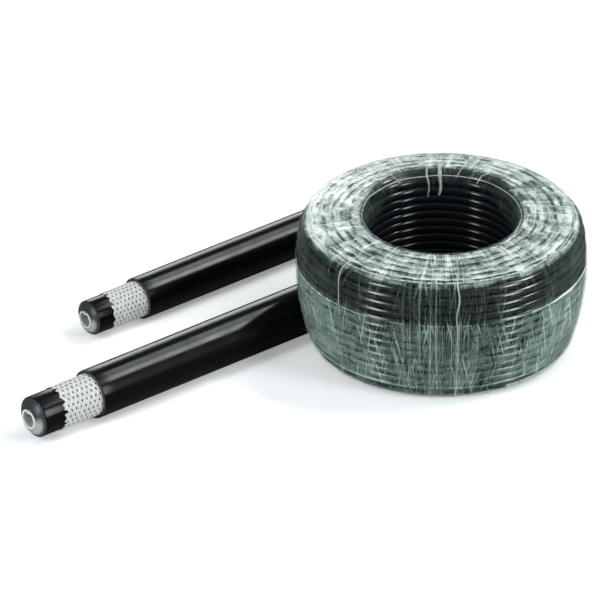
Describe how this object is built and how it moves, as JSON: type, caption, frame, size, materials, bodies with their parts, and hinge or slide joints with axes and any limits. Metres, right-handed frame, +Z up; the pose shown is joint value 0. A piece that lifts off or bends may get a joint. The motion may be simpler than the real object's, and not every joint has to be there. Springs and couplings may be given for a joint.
{
  "type": "coiled air hose",
  "caption": "Wrapped coil of smooth black compressor air hose, with two cut-back lengths of thicker braided hose lying beside it.",
  "frame": {"origin": "centre of the coil's bore, on the floor", "axes": "+Z up along the coil's bore; +X to the viewer's right in the picture; +Y away from the viewer"},
  "size_m": [0.8298, 0.6576, 0.2049],
  "materials": {
    "film": "glossy clear stretch film, cloudy where it is layered",
    "coil_hose": "smooth and glossy",
    "cover": "smooth and glossy",
    "braid": "white and grey yarn, crossed in a close diamond braid",
    "inner_tube": "smooth and glossy",
    "liner": "white at the mouth's rounded lip"
  },
  "bodies": {
    "coil": {"film_cross_wrap": "film", "film_girth_wrap": "film", "hose_winding": "coil_hose", "coil_core": "coil_hose"},
    "front_length": {"front_cover": "cover", "front_braid": "braid", "front_inner_tube": "inner_tube", "front_liner": "liner"},
    "back_length": {"back_cover": "cover", "back_braid": "braid", "back_inner_tube": "inner_tube", "back_liner": "liner"}
  },
  "joints": [
    {"name": "front_slide", "type": "slide", "parent": "coil", "child": "front_length", "axis": [-0.7782, -0.628, 0], "range_m": [0, 0.35]},
    {"name": "back_slide", "type": "slide", "parent": "coil", "child": "back_length", "axis": [-0.7782, -0.628, 0], "range_m": [0, 0.35]}
  ]
}
